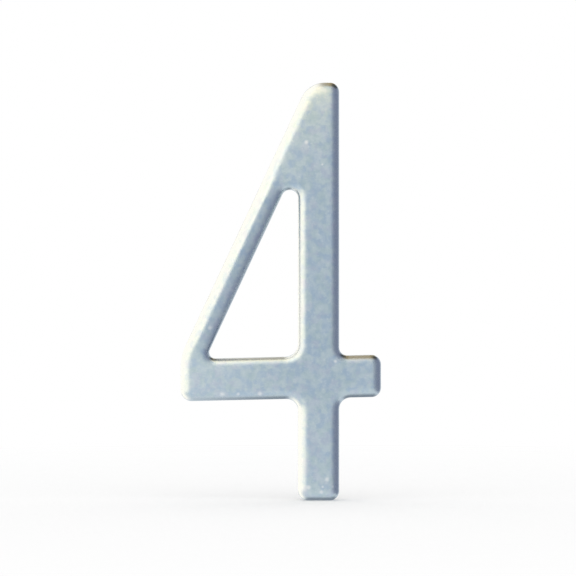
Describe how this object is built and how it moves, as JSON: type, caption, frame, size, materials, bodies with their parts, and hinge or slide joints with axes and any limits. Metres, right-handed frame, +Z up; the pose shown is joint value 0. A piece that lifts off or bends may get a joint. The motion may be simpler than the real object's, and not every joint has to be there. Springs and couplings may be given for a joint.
{
  "type": "house number",
  "caption": "House number in the shape of the figure four, a satin chrome casting with softly rolled front edges and a flat back, fixed to a wall or door by hidden studs.",
  "frame": {"origin": "on the flat back, on the stem's centreline, midway between the two stud holes, which is mid-height", "axes": "+Z up along the stem, +X to the right as seen from the street, +Y into the wall; the face looks along -Y"},
  "size_m": [0.0365, 0.004, 0.076],
  "materials": {
    "satin_chrome": "satin"
  },
  "bodies": {
    "root": {"numeral_four": "satin_chrome"}
  },
  "joints": []
}
